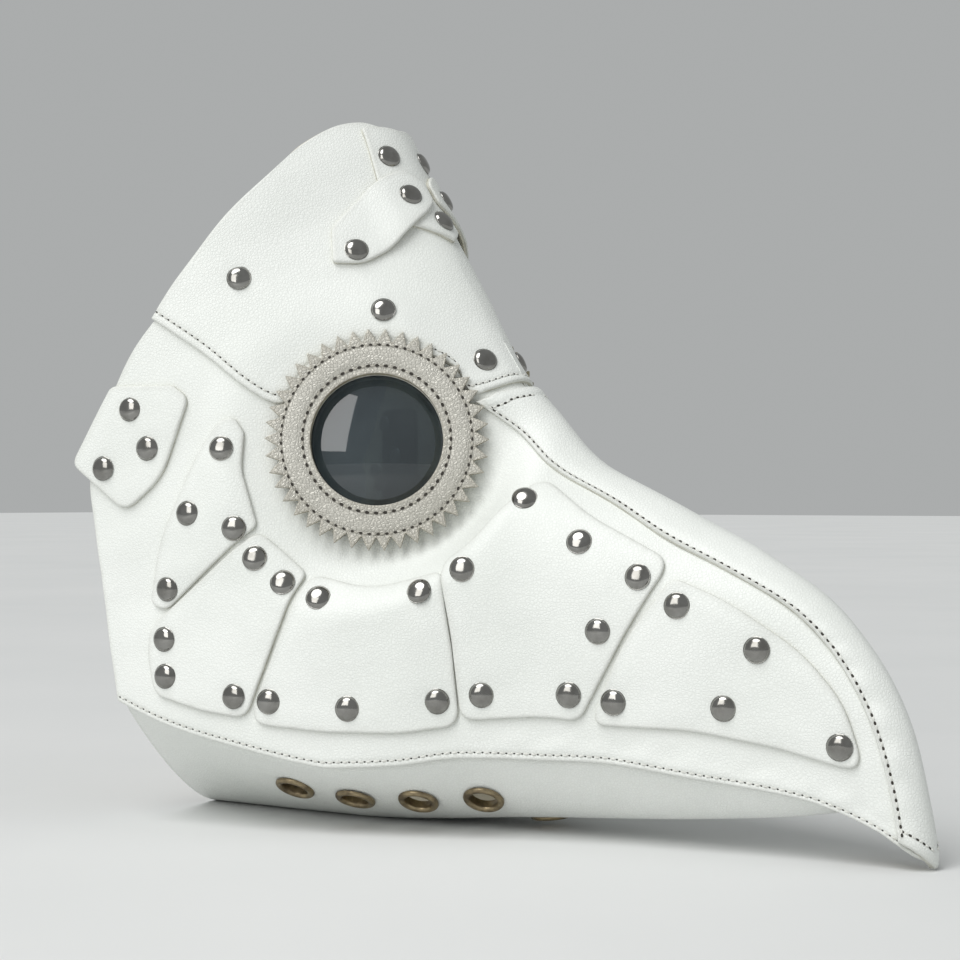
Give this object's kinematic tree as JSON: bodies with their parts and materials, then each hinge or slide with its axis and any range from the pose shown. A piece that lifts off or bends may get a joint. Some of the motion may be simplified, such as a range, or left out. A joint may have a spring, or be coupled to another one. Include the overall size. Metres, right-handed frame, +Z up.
{
  "type": "plague doctor mask",
  "caption": "Beaked leather face mask with riveted plates, toothed eye rings round tinted lenses, an eyeleted underside and a buckled head strap",
  "frame": {"origin": "On the table under the middle of the mask's box, the keel of the cheeks resting on it", "axes": "+X forward along the beak, +Y to the wearer's left, +Z up"},
  "size_m": [0.2843, 0.1618, 0.2469],
  "materials": {
    "white_leather": "pebbled matte coated leather",
    "silver_leather": "metallic pebbled leather",
    "cream_backing": "brushed cloth backing",
    "nickel": "polished nickel",
    "antique_brass": "dark antique brass",
    "tinted_lens": "dark tinted clear plastic",
    "black_plastic": "matte black",
    "strap_leather": "smooth dark leather"
  },
  "bodies": {
    "mask": {"side_panel_right": "white_leather", "side_panel_left": "white_leather", "under_gusset": "white_leather", "forehead_panel": "white_leather", "forehead_facing": "cream_backing", "beak_top_strip": "white_leather", "forehead_shield": "white_leather", "forehead_strap_right": "white_leather", "forehead_strap_left": "white_leather", "cheek_plate_rear_right": "white_leather", "cheek_plate_rear_left": "white_leather", "jaw_plate_rear_right": "white_leather", "jaw_plate_rear_left": "white_leather", "jaw_plate_middle_right": "white_leather", "jaw_plate_middle_left": "white_leather", "beak_plate_rear_right": "white_leather", "beak_plate_rear_left": "white_leather", "beak_plate_front_right": "white_leather", "beak_plate_front_left": "white_leather", "temple_tab_right": "white_leather", "temple_tab_left": "white_leather", "gear_ring_right": "silver_leather", "gear_ring_left": "silver_leather", "eye_lens_right": "tinted_lens", "eye_lens_left": "tinted_lens", "lens_retainer_right": "black_plastic", "lens_retainer_left": "black_plastic", "plate_rivets_right": "nickel", "plate_rivets_left": "nickel", "forehead_rivets": "nickel", "temple_rivets": "nickel", "vent_eyelets": "antique_brass", "head_strap_long": "strap_leather", "head_strap_short": "strap_leather", "strap_keeper": "strap_leather"},
    "buckle_frame": {"buckle_frame": "nickel"},
    "buckle_prong": {"buckle_prong": "nickel"}
  },
  "joints": [
    {"name": "buckle_swing", "type": "hinge", "parent": "mask", "child": "buckle_frame", "pos_m": [-0.11316, 0.0669, 0.092], "axis": [-0.986, 0.1668, 0], "range_deg": [-3, 75]},
    {"name": "prong_swing", "type": "hinge", "parent": "buckle_frame", "child": "buckle_prong", "pos_m": [-0.11316, 0.0669, 0.092], "axis": [-0.986, 0.1668, 0], "range_deg": [0, 60]}
  ]
}
